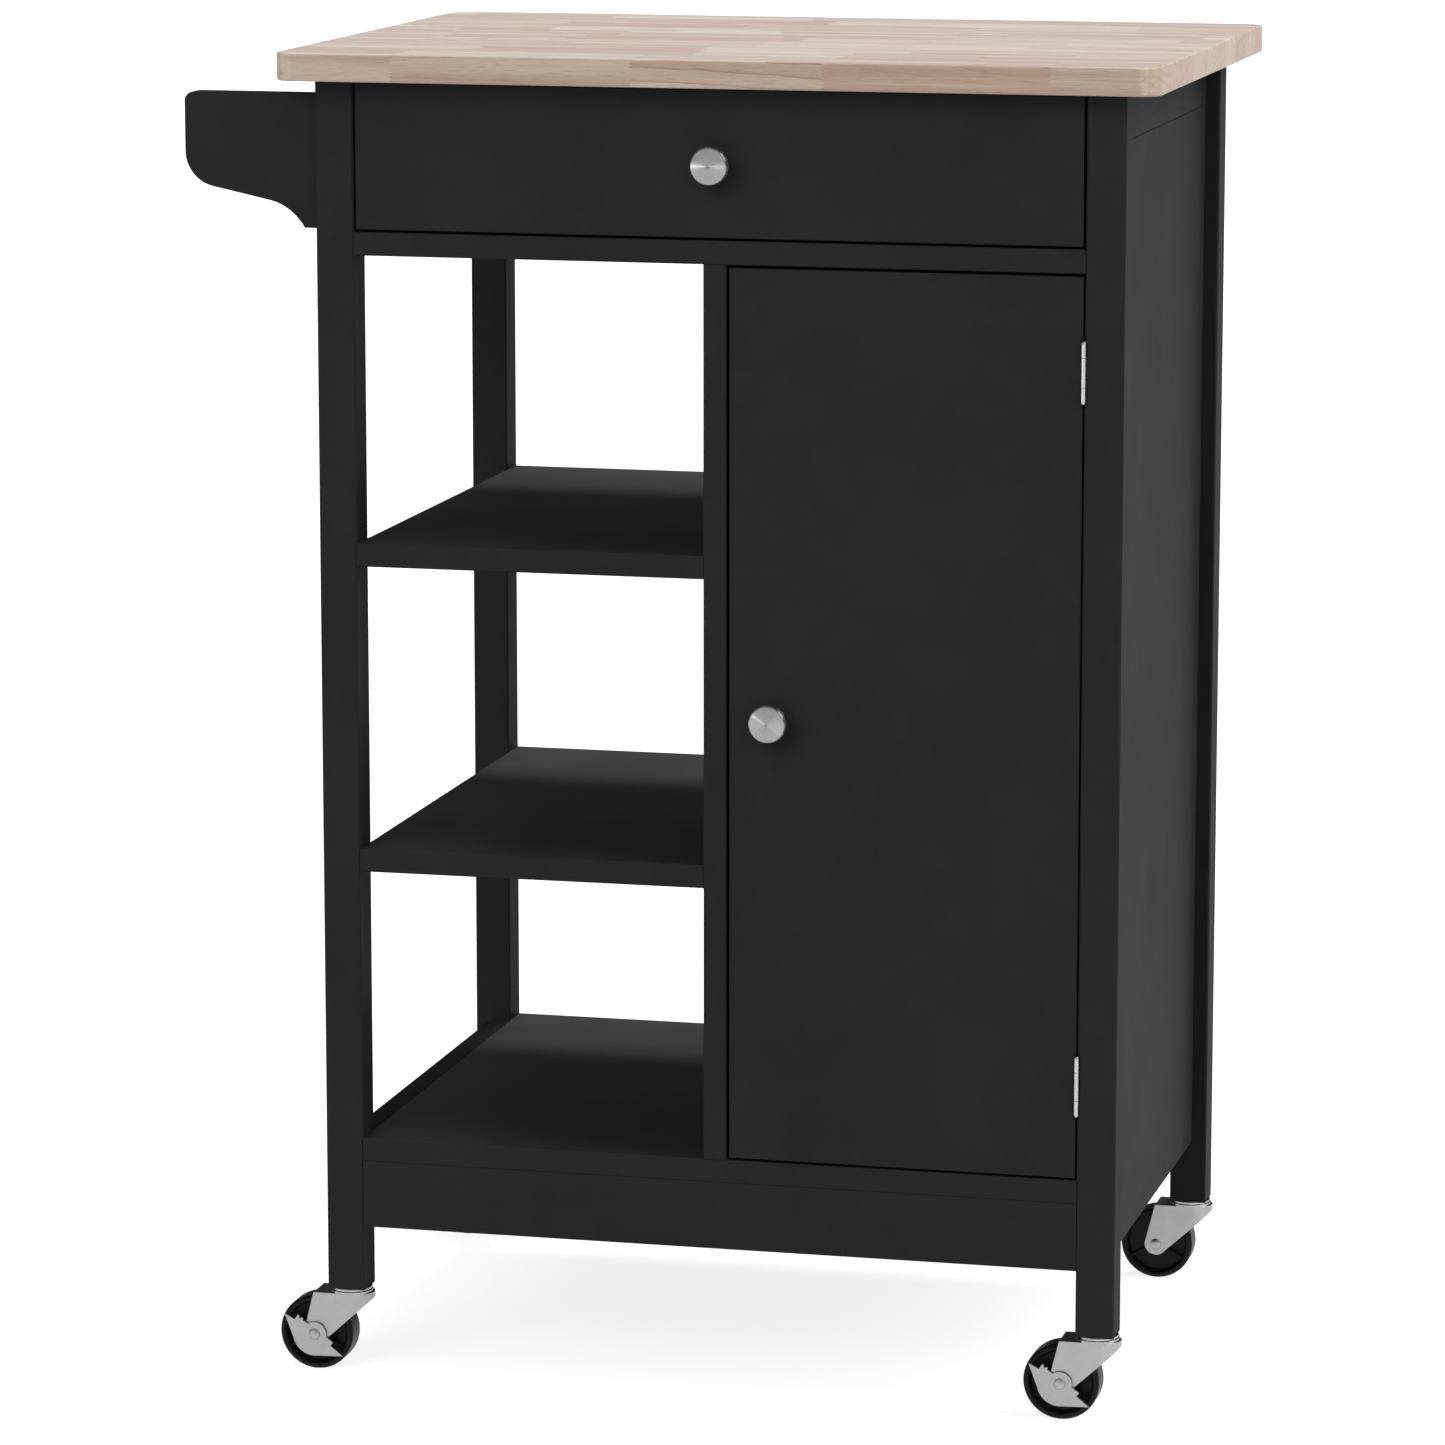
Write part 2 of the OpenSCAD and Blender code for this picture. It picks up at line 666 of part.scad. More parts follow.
// Side view of a bracket: X runs outwards from the post, Y runs up from its top edge
module bracket_outline() {
    nose_x = bracket_reach - bracket_nose_radius;
    slope_x = nose_x + bracket_nose_radius * sin(bracket_slope);
    slope_y = -bracket_nose_height - bracket_nose_radius * cos(bracket_slope);
    cove_y = slope_y - (slope_x - bracket_cove_start) * tan(bracket_slope);
    cove_mid = [bracket_cove_start + bracket_cove_radius * sin(bracket_slope),
        cove_y - bracket_cove_radius * cos(bracket_slope)];
    foot = cove_mid.x - sqrt(bracket_cove_radius ^ 2 - (cove_mid.y + bracket_height) ^ 2);
    difference() {
        union() {
            polygon([[0, 0], [bracket_reach - bracket_top_radius, 0], [bracket_reach, -bracket_top_radius],
                [bracket_reach, -bracket_nose_height], [slope_x, slope_y], [bracket_cove_start, cove_y],
                [foot, -bracket_height], [0, -bracket_height]]);
            translate([bracket_reach - bracket_top_radius, -bracket_top_radius]) circle(bracket_top_radius);
            translate([nose_x, -bracket_nose_height]) circle(bracket_nose_radius);
        }
        translate(cove_mid) circle(bracket_cove_radius);
    }
}

// A bracket whose front face is at y, with a blind bore for the bar in the face that looks inwards
module towel_bracket(y, bore_from) {
    color(paint) difference() {
        translate([left, y + bracket_thick, bracket_top]) mirror([1, 0, 0]) rotate([90, 0, 0])
            linear_extrude(bracket_thick) bracket_outline();
        translate([bar_x, bore_from, bar_z]) lay(1)
            cylinder(d = bar_d + 2 * bar_fit, h = bar_depth + bar_fit + cut);
        bracket_screw_set(screw_fit);
    }
}

module towel_bracket_front() {
    towel_bracket(bracket_y[0], bracket_y[0] + bracket_thick - bar_depth - bar_fit);
}

module towel_bracket_rear() { towel_bracket(bracket_y[1], bracket_y[1] - cut); }

module towel_bar() {
    bar_front = bracket_y[0] + bracket_thick - bar_depth;
    bar_length = bracket_y[1] + bar_depth - bar_front;
    color(nickel) translate([bar_x, bar_front, bar_z]) lay(1) difference() {
        cylinder(d = bar_d, h = bar_length);
        translate([0, 0, -cut]) cylinder(d = bar_d - 2 * bar_wall, h = bar_length + 2 * cut);
    }
}

// Two screws in each bracket, through its post
module bracket_screw_set(play) {
    for (y = post_rows, drop = bracket_screw_drops)
        translate([inner_left, y, bracket_top - drop]) rotate([0, -90, 0])
            screw(bracket_screw_d, bracket_screw_head, bracket_screw_length, play);
}

module bracket_screws() { color(steel) bracket_screw_set(0); }

// ---------------------------------------------------------------- knobs

// Half section of a knob: X is the radius, Y runs out from the board
module knob_section() {
    head_top = knob_reach - knob_dome;
    head_bottom = head_top - knob_head;
    radius = knob_d / 2;
    flat = radius - knob_rim;
    dome = (flat ^ 2 + knob_dome ^ 2) / (2 * knob_dome);
    square([knob_foot_d / 2, knob_foot]);
    square([knob_neck_d / 2, head_top]);
    translate([0, head_bottom]) square([flat, knob_head]);
    translate([0, head_bottom + knob_rim]) square([radius, knob_head - 2 * knob_rim]);
    for (y = [head_bottom + knob_rim, head_top - knob_rim]) translate([flat, y]) circle(knob_rim);
    intersection() {
        translate([0, knob_reach - dome]) circle(dome);
        translate([0, head_top - cut]) square([flat, knob_dome + cut]);
    }
}

module knob(at) {
    color(nickel) difference() {
        translate(at) rotate([90, 0, 0]) rotate_extrude($fn = 96) knob_section();
        knob_screw_at(at, screw_fit);
    }
}

// Machine screw through a board of the door or drawer, head on its back
module knob_screw_at(at, play) {
    translate([at.x, at.y - knob_screw_depth - play, at.z]) lay(1) {
        cylinder(d = knob_screw_d + 2 * play, h = board_thick + knob_screw_depth + 2 * play);
        translate([0, 0, board_thick + knob_screw_depth + play])
            cylinder(d = 2 * knob_screw_d, h = knob_screw_d / 2);
    }
}

module door_knob() { knob(door_knob_at); }
module drawer_knob() { knob(drawer_knob_at); }
module door_knob_screw() { color(steel) knob_screw_at(door_knob_at, 0); }
module drawer_knob_screw() { color(steel) knob_screw_at(drawer_knob_at, 0); }

// ---------------------------------------------------------------- door

module door() {
    color(paint) difference() {
        eased_box(door_low, door_high, 2);
        hinge_cuts();
        knob_screw_at(door_knob_at, screw_fit);
        for (z = hinge_heights) hinge_screw_row(z, -1, screw_fit);
        strike_screw(screw_fit);
    }
}

// What the two hinges take out of the door and its post
module hinge_cuts() {
    tall = hinge_height + 2 * knuckle_d + 2 * knuckle_play;
    half = hinge_gap / 2 + leaf_thick;
    for (z = hinge_heights) {
        translate([pin_x, pin_y, z]) cylinder(d = knuckle_d + 2 * knuckle_play, h = tall, center = true);
        translate([pin_x - half, pin_y, z - hinge_height / 2])
            cube([2 * half, pin_proud + leaf_width, hinge_height]);
    }
}

// Leaf in its mortise on one side of the gap: side is 1 for the post and -1 for the door
module hinge_leaf(z, side, low_knuckles) {
    start = side > 0 ? hinge_gap / 2 : -hinge_gap / 2 - leaf_thick;
    middle = hinge_height - 2 * knuckle_end;
    end = knuckle_end - knuckle_gap;
    own = low_knuckles ? [[0, end], [hinge_height - end, end]] : [[knuckle_end, middle]];
    other = low_knuckles ? [[end, middle + 2 * knuckle_gap]]
        : [[-cut, knuckle_end + cut], [hinge_height - knuckle_end, knuckle_end + cut]];
    translate([pin_x, pin_y, z - hinge_height / 2]) difference() {
        union() {
            difference() {
                translate([start, 0, 0]) cube([leaf_thick, pin_proud + leaf_width, hinge_height]);
                for (k = other) translate([0, 0, k[0]]) cylinder(d = knuckle_d + 2 * knuckle_play, h = k[1]);
            }
            for (k = own) translate([0, 0, k[0]]) cylinder(d = knuckle_d, h = k[1]);
        }
        translate([0, 0, -cut]) cylinder(d = hinge_pin_d + 2 * pin_fit, h = hinge_height + 2 * cut);
        translate([-pin_x, -pin_y, hinge_height / 2 - z]) hinge_screw_row(z, side, screw_fit);
    }
}

module hinge_leaves_frame() { color(nickel) for (z = hinge_heights) hinge_leaf(z, 1, true); }
module hinge_leaves_door() { color(nickel) for (z = hinge_heights) hinge_leaf(z, -1, false); }

module hinge_pins() {
    color(nickel) for (z = hinge_heights) translate([pin_x, pin_y, z - hinge_height / 2]) {
        cylinder(d = hinge_pin_d, h = hinge_height);
        for (end = [0, 1]) translate([0, 0, end * hinge_height]) mirror([0, 0, 1 - end])
            rotate_extrude() intersection() {
                circle(d = knuckle_d);
                square(knuckle_d);
            }
    }
}

// Two countersunk screws of one leaf, with their heads flush in the leaf
module hinge_screw_row(z, side, play) {
    for (row = hinge_screw_rows)
        translate([pin_x + side * hinge_gap / 2, front + hinge_screw_setback, z + row])
        rotate([0, side * 90, 0]) screw(hinge_screw_d, hinge_screw_head, hinge_screw_length, play);
}

module hinge_screws() { color(steel) for (z = hinge_heights) hinge_screw_row(z, 1, 0); }

// The screws that turn with the door: those of its hinge leaves and of its strike
module door_screws() {
    color(steel) {
        for (z = hinge_heights) hinge_screw_row(z, -1, 0);
        strike_screw(0);
    }
}

// ---------------------------------------------------------------- magnetic catch

catch_y = front + board_thick + strike_thick + catch_gap;
catch_bottom = floor_bottom - catch_height;
lug_mids = [-catch_lug / 2, catch_length + catch_lug / 2];
pole_slot = 1.5;

// Case under the bay floor with a lug at each end, and slots between its magnet and pole plates
module catch_magnet() {
    color(black_plastic) difference() {
        union() {
            translate([catch_left, catch_y, catch_bottom]) cube([catch_length, catch_depth, catch_height]);
            translate([catch_left - catch_lug, catch_y, floor_bottom - catch_lug_thick])
                cube([catch_length + 2 * catch_lug, catch_depth, catch_lug_thick]);
        }
        for (z = [catch_bottom + pole_slot, floor_bottom - catch_lug_thick])
            translate([catch_left + pole_slot, catch_y - cut, z])
                cube([catch_length - 2 * pole_slot, cut + pole_slot, pole_slot / 2]);
        small_screw_set(screw_fit);
    }
}

module catch_strike() {
    color(steel) difference() {
        translate([catch_left, front + board_thick, catch_bottom])
            cube([catch_length, strike_thick, strike_height]);
        strike_screw(screw_fit);
    }
}

module strike_screw(play) {
    translate([catch_left + catch_length / 2, catch_y - catch_gap, catch_bottom + strike_height / 2])
        rotate([90, 0, 0]) screw(hinge_screw_d, hinge_screw_head, hinge_screw_length, play);
}

// ---------------------------------------------------------------- drawer

// The room of the drawer bottom: reach is how far it goes into the sides and the front
module drawer_bottom_slab(reach, past, thick) {
    inset = drawer_side_thick - reach;
    translate([drawer_front_low.x + inset, front + board_thick - reach, drawer_floor])
        cube([drawer_front_high.x - drawer_front_low.x - 2 * inset, drawer_length + reach + past, thick]);
}

module drawer_groove_cut() {
    drawer_bottom_slab(groove_depth, cut, drawer_bottom_thick + groove_play);
}

module drawer_dowel_set(play) {
    for (z = drawer_rows) {
        for (x = drawer_side_mids) dowel([x, front + board_thick, z], 1, drawer_dowel_length, play);
        for (x = [drawer_front_low.x + drawer_side_thick, drawer_front_high.x - drawer_side_thick])
            dowel([x, drawer_back_y - drawer_side_thick / 2, z], 0, drawer_dowel_length, play);
    }
}

module drawer_front() {
    color(paint) difference() {
        eased_box(drawer_front_low, drawer_front_high, 0);
        drawer_groove_cut();
        drawer_dowel_set(dowel_fit);
        knob_screw_at(drawer_knob_at, screw_fit);
    }
}

// A drawer side with its grooves for the bottom and for the runner
module drawer_side(x, groove_x) {
    color(pale_wood) difference() {
        translate([x, front + board_thick, drawer_side_bottom])
            cube([drawer_side_thick, drawer_length, drawer_side_height]);
        drawer_groove_cut();
        drawer_dowel_set(dowel_fit);
        translate([groove_x, runner_front - runner_play, runner_z - runner_play])
            cube([runner_cut + cut, drawer_length, runner_height + 2 * runner_play]);
    }
}

module drawer_side_left() { drawer_side(drawer_front_low.x, drawer_front_low.x - cut); }

module drawer_side_right() {
    drawer_side(drawer_front_high.x - drawer_side_thick, drawer_front_high.x - runner_cut);
}

module drawer_back() {
    low = drawer_floor + drawer_bottom_thick + groove_play;
    color(pale_wood) difference() {
        translate([drawer_front_low.x + drawer_side_thick, drawer_back_y - drawer_side_thick, low])
            cube([drawer_front_high.x - drawer_front_low.x - 2 * drawer_side_thick, drawer_side_thick,
                drawer_side_top - low]);
        drawer_dowel_set(dowel_fit);
    }
}

module drawer_bottom() {
    color(pale_wood) drawer_bottom_slab(groove_depth - groove_end_play, 0, drawer_bottom_thick);
}

module drawer_dowels() { color(pale_wood) drawer_dowel_set(0); }

module drawer_runners() {
    color(pale_wood) difference() {
        for (x = [inner_left, inner_right - runner_width]) translate([x, runner_front, runner_z])
            cube([runner_width, runner_length, runner_height]);
        small_screw_set(screw_fit);
    }
}

// Two screws in each runner, into the side behind it, and two in the lugs of the catch
module small_screw_set(play) {
    for (y = [runner_front + runner_screw_inset, runner_front + runner_length - runner_screw_inset]) {
        translate([inner_left + runner_width, y, runner_z + runner_height / 2]) rotate([0, -90, 0])
            small_screw(play);
        translate([inner_right - runner_width, y, runner_z + runner_height / 2]) rotate([0, 90, 0])
            small_screw(play);
    }
    for (x = lug_mids) translate([catch_left + x, catch_y + catch_depth / 2, floor_bottom - catch_lug_thick])
        small_screw(play);
}

module small_screw(play) { screw(small_screw_d, small_screw_head, small_screw_length, play); }

module small_screws() { color(steel) small_screw_set(0); }

// ---------------------------------------------------------------- casters

// Each stem: threaded rod in the post, upper half of the race, pivot and riveted end
module caster_stems() {
    race_bottom = caster_height - race_height;
    plate_bottom = wheel_radius + fork_rise - fork_sheet;
    color(steel) for (at = swivels) translate([at.x, at.y, 0]) {
        translate([0, 0, caster_height]) cylinder(d = stem_d, h = stem_length);
        translate([0, 0, race_bottom]) cylinder(d = race_d - race_step, h = race_height);
        translate([0, 0, plate_bottom - race_gap])
            cylinder(d = stem_d, h = race_bottom - plate_bottom + race_gap);
        translate([0, 0, plate_bottom - race_gap - stem_head]) cylinder(d = stem_head_d, h = stem_head);
    }
}

// Angle at which a line from point p touches a circle round the origin; side is 1 or -1
function touch_angle(p, radius, side) = atan2(p.y, p.x) + side * acos(radius / norm(p));

// Side view of a fork, round the axle; it runs past the nose, which the plan then cuts.
// Its straight edges end just inside the lobe, so they cross its circle instead of grazing it.
module cheek_outline() {
    nose = caster_trail + fork_nose + cut;
    tail_corner = [-fork_tail, fork_rise];
    nose_corner = [nose, fork_rise - fork_skirt];
    landing = fork_lobe - lobe_ease;
    tail_angle = touch_angle(tail_corner, landing, 1);
    nose_angle = touch_angle(nose_corner, landing, -1);
    polygon([tail_corner, [nose, fork_rise], nose_corner,
        landing * [cos(nose_angle), sin(nose_angle)],
        [0, 0], landing * [cos(tail_angle), sin(tail_angle)]]);
    circle(fork_lobe);
}

// Plan of a fork, half its width to each side, with its round nose
module fork_plan(half) {
    nose_mid = caster_trail + fork_nose - cheek_outer;
    translate([-2 * fork_lobe, -half]) square([nose_mid + 2 * fork_lobe, 2 * half]);
    translate([nose_mid, 0]) circle(half);
}

// Pressed steel fork: a skirted plate cut to the side view, with the lower half of the race
module fork(at) {
    top = wheel_radius + fork_rise;
    color(nickel) translate([at.x - caster_trail, at.y, 0]) difference() {
        union() {
            intersection() {
                translate([0, 2 * cheek_outer, wheel_radius]) rotate([90, 0, 0])
                    linear_extrude(4 * cheek_outer) cheek_outline();
                difference() {
                    linear_extrude(top) fork_plan(cheek_outer);
                    translate([0, 0, -cut]) linear_extrude(top - fork_sheet + cut) fork_plan(cheek_inner);
                }
            }
            translate([caster_trail, 0, top]) cylinder(d = race_d, h = race_height);
        }
        translate([caster_trail, 0, -cut]) cylinder(d = stem_d + 2 * stem_fit, h = caster_height);
        translate([0, 0, wheel_radius]) lay(1) cylinder(d = axle_d, h = 4 * cheek_outer, center = true);
    }
}

// Riveted axle with domed heads; a braked one is longer at the front
module axle(at, braked) {
    front_length = cheek_outer + (braked ? brake_gap + brake_sheet + brake_play : 0);
    color(steel) translate([at.x - caster_trail, at.y, wheel_radius]) {
        rotate([90, 0, 0]) translate([0, 0, -cheek_outer]) {
            cylinder(d = axle_d, h = cheek_outer + front_length);
            translate([0, 0, cheek_outer + front_length]) rivet_head();
            mirror([0, 0, 1]) rivet_head();
        }
    }
}

// Dome of the height of an axle head, standing on Z = 0
module rivet_head() {
    radius = axle_head_d / 2;
    dome = (radius ^ 2 + axle_head ^ 2) / (2 * axle_head);
    rotate_extrude() intersection() {
        translate([0, axle_head - dome]) circle(dome);
        square([radius + cut, axle_head + cut]);
    }
}

// Half section of a wheel: X is the radius, Y is across the tread
module wheel_section() {
    half = wheel_width / 2;
    rim_radius = wheel_radius - rim_thick;
    bore = axle_d / 2 + axle_fit;
    translate([bore, -hub_width / 2]) square([hub_d / 2 - bore, hub_width]);
    translate([bore, wheel_hollow - half])
        square([wheel_radius - wheel_shoulder - bore, 2 * (half - wheel_hollow)]);
    translate([rim_radius, -half]) square([rim_thick - wheel_shoulder, wheel_width]);
    translate([rim_radius, wheel_shoulder - half]) square([rim_thick, wheel_width - 2 * wheel_shoulder]);
    for (y = [wheel_shoulder - half, half - wheel_shoulder])
        translate([wheel_radius - wheel_shoulder, y]) circle(wheel_shoulder);
}

module wheel(at) {
    rib_inner = hub_d / 2 - cut;
    color(black_plastic) translate([at.x - caster_trail, at.y, wheel_radius]) lay(1) {
        rotate_extrude($fn = 96) wheel_section();
        for (turn = [30, 150, 270]) rotate(turn)
            translate([rib_inner, -rib_width / 2, rib_inset - wheel_width / 2])
            cube([wheel_radius - rim_thick + cut - rib_inner, rib_width, wheel_width - 2 * rib_inset]);
    }
}

// Side view of a brake plate, round the axle: its sides run straight from the tips to a round belly
// and end just inside it; the upper edge has two notches, an eye, and two teeth on the left.
module brake_outline() {
    tip = [brake_reach, -brake_drop];
    landing = brake_belly - lobe_ease;
    landing_angle = touch_angle(tip, landing, -1);
    foot = landing * [cos(landing_angle), sin(landing_angle)];
    difference() {
        union() {
            intersection() {
                circle(brake_belly);
                translate([-brake_belly, -2 * brake_belly]) square([2 * brake_belly, 1.5 * brake_belly]);
            }
            polygon([[-tip.x, tip.y], [-foot.x, foot.y], foot, tip, [brake_notch_right, 0],
                [brake_notch_right, brake_edge], [-brake_notch_left, brake_edge], [-brake_notch_left, 0]]);
            circle(brake_eye);
            for (step = [0, 2])
                translate([step * brake_tooth_width - brake_notch_left, brake_edge - cut])
                square([brake_tooth_width, brake_tooth + cut]);
        }
        circle(d = axle_d + 2 * axle_fit);
    }
}

// End view of a folded tab, along the upper edge between notch and tip; the tab is as thick as the plate
module brake_tab_outline(notch) {
    slant = brake_drop / (brake_reach - notch);
    near = [notch + brake_tab_relief, -slant * brake_tab_relief];
    far = [brake_reach - brake_tab_inset, slant * brake_tab_inset - brake_drop];
    polygon([near, far, far - [0, brake_sheet], near - [0, brake_sheet]]);
}

module brake(at) {
    face = -cheek_outer - brake_gap;
    color(nickel) translate([at.x - caster_trail, at.y + face, wheel_radius])
        rotate([0, brake_slope, 0]) rotate([90, 0, 0]) {
            linear_extrude(brake_sheet) brake_outline();
            translate([0, 0, -brake_tab]) linear_extrude(brake_tab + cut) {
                brake_tab_outline(brake_notch_right);
                mirror([1, 0]) brake_tab_outline(brake_notch_left);
            }
        }
}

module fork_front_left() { fork(swivels[0]); }
module fork_front_right() { fork(swivels[1]); }
module fork_rear_left() { fork(swivels[2]); }
module fork_rear_right() { fork(swivels[3]); }
module axle_front_left() { axle(swivels[0], true); }
module axle_front_right() { axle(swivels[1], true); }
module axle_rear_left() { axle(swivels[2], false); }
module axle_rear_right() { axle(swivels[3], false); }
module wheel_front_left() { wheel(swivels[0]); }
module wheel_front_right() { wheel(swivels[1]); }
module wheel_rear_left() { wheel(swivels[2]); }
module wheel_rear_right() { wheel(swivels[3]); }
module brake_front_left() { brake(swivels[0]); }
module brake_front_right() { brake(swivels[1]); }

// ---------------------------------------------------------------- nodes

worktop();
post_front_left();
post_front_right();
post_rear_left();
post_rear_right();
apron_front();
apron_rear();
rail_lower_left();
rail_upper_left();
rail_upper_right();
rail_rear();
side_panel_right();
bay_floor();
bottom_board();
divider();
shelf_upper();
shelf_lower();
cabinet_shelf();
shelf_supports();
back_panel();
frame_dowels();
towel_bracket_front();
towel_bracket_rear();
towel_bar();
bracket_screws();
door();
door_knob();
door_knob_screw();
hinge_leaves_frame();
hinge_leaves_door();
hinge_pins();
hinge_screws();
door_screws();
catch_magnet();
catch_strike();
drawer_front();
drawer_side_left();
drawer_side_right();
drawer_back();
drawer_bottom();
drawer_knob();
drawer_knob_screw();
drawer_dowels();
drawer_runners();
small_screws();
caster_stems();
fork_front_left();
fork_front_right();
fork_rear_left();
fork_rear_right();
axle_front_left();
axle_front_right();
axle_rear_left();
axle_rear_right();
wheel_front_left();
wheel_front_right();
wheel_rear_left();
wheel_rear_right();
brake_front_left();
brake_front_right();
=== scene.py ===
"""Looks of the kitchen island cart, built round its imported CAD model. Metres, +Z up, front towards -Y."""

import math

import bpy
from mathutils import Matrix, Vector

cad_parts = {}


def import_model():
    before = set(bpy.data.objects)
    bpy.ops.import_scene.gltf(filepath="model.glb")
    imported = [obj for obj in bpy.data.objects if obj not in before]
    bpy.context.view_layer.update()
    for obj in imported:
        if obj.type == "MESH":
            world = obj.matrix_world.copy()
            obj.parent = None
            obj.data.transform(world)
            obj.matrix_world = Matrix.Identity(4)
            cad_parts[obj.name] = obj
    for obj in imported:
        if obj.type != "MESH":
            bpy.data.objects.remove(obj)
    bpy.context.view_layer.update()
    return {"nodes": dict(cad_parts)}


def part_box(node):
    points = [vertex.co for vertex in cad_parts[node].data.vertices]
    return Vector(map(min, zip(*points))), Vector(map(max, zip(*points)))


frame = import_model()
NODES = frame["nodes"]

CORNERS = ("front_left", "front_right", "rear_left", "rear_right")
BRAKED = CORNERS[:2]


# ------------------------------------------------------------------ colours

def srgb(red, green, blue, scale=1.0):
    """Linear colour of an 8-bit sRGB one."""
    out = []
    for channel in (red, green, blue):
        c = channel / 255
        out.append(scale * (c / 12.92 if c <= 0.04045 else ((c + 0.055) / 1.055) ** 2.4))
    return (*out, 1.0)


# ------------------------------------------------------------------ node trees

class Tree:
    """A node tree, with short calls for the nodes used here."""

    def __init__(self, tree):
        self.tree = tree
        self.texture = self.node("ShaderNodeTexCoord").outputs

    def node(self, kind, inputs=(), **settings):
        """A new node. inputs maps its sockets to values or to other nodes' sockets."""
        made = self.tree.nodes.new(kind)
        for key, value in settings.items():
            setattr(made, key, value)
        for key, value in dict(inputs).items():
            self.put(made.inputs[key], value)
        return made

    def put(self, socket, value):
        if isinstance(value, bpy.types.NodeSocket):
            self.tree.links.new(value, socket)
        else:
            socket.default_value = value

    def math(self, operation, a, b=0.0):
        return self.node("ShaderNodeMath", {0: a, 1: b}, operation=operation).outputs[0]

    def product(self, first, *others):
        for other in others:
            first = self.math("MULTIPLY", first, other)
        return first

    def vector(self, operation, a, b):
        return self.node("ShaderNodeVectorMath", {0: a, 1: b}, operation=operation).outputs[0]

    def join(self, x, y, z):
        return self.node("ShaderNodeCombineXYZ", {0: x, 1: y, 2: z}).outputs[0]

    def split(self, vector):
        return self.node("ShaderNodeSeparateXYZ", {0: vector}).outputs

    def noise(self, vector, scale, detail, roughness, distortion=0.0):
        """Noise at scale, which is one number, or the stretch along X, Y and Z."""
        if isinstance(scale, tuple):
            vector, scale = self.vector("MULTIPLY", vector, scale), 1.0
        return self.node("ShaderNodeTexNoise", {
            "Vector": vector, "Scale": scale, "Detail": detail,
            "Roughness": roughness, "Distortion": distortion}).outputs["Fac"]

    def chance(self, seed, turn):
        """A value from 0 to 1 that is the same wherever seed is; turn picks another."""
        return self.node("ShaderNodeTexWhiteNoise", {"W": self.math("ADD", seed, turn)},
                         noise_dimensions="1D").outputs["Value"]

    def spread(self, value, low, high, to_low=0.0, to_high=1.0):
        """value carried from low..high to to_low..to_high, and held there beyond."""
        return self.node("ShaderNodeMapRange", {
            "Value": value, "From Min": low, "From Max": high,
            "To Min": to_low, "To Max": to_high}).outputs["Result"]

    def mix(self, factor, a, b, blend="MIX"):
        made = self.node("ShaderNodeMix", data_type="RGBA", blend_type=blend)
        self.put(made.inputs["Factor"], factor)
        self.put(made.inputs[6], a)
        self.put(made.inputs[7], b)
        return made.outputs[2]

    def bump(self, height, distance, strength, after=None):
        """A normal that follows height, laid over the normal after."""
        made = self.node("ShaderNodeBump", {"Height": height, "Distance": distance, "Strength": strength})
        if after is not None:
            self.put(made.inputs["Normal"], after)
        return made.outputs["Normal"]

    def soft_edge(self, radius):
        """The Bevel node that rounds sharp edges by radius."""
        return self.node("ShaderNodeBevel", {"Radius": radius}, samples=4)


class Finish(Tree):
    """The node tree of a new material."""

    def __init__(self, name):
        self.material = bpy.data.materials.new(name)
        self.material.use_nodes = True
        super().__init__(self.material.node_tree)
        self.shader = self.tree.nodes["Principled BSDF"]
        self.object = self.texture["Object"]
        self.normal = self.split(self.texture["Normal"])

    def set(self, **values):
        """Sets the shader's sockets; underscores stand for spaces."""
        for key, value in values.items():
            self.put(self.shader.inputs[key.replace("_", " ")], value)


# ------------------------------------------------------------------ wood of the worktop

STAVE, STAVES = 0.0421, 10  # width of a stave, and how many lie side by side
STAVE_SHIFT = 37.11  # in blocks: keeps the joints of neighbouring staves apart
BLOCK = 0.125  # usual length of a block in a stave
FINGER_PITCH, FINGER_DEPTH = 0.0022, 0.0028  # the joints between blocks
SEAM, JOINT = 0.00022, 0.00028  # half widths of the glue lines between staves and blocks
WORKTOP_MIDDLE = 0.862  # height
RINGS = 0.0062  # growth of one year
WANDER = 0.011  # how far the rings stray from circles
PITH_OFF = (0.11, 0.08)  # spread of the pith's place beside a block, along Y and Z
PITH_LEAN = (0.32, 0.22)  # spread of the pith's slope
PIN_KNOTS = 9.0  # how close together the pin knots are
LATE_WOOD, EARLY_WOOD = srgb(156, 121, 100), srgb(226, 214, 200)
# Tint of the worktop's sides, warmer and darker than the top: painted light for the pale sheen on the top
PAINTED_SHEEN_SIDES_TINT = (0.94, 0.86, 0.765, 1.0)


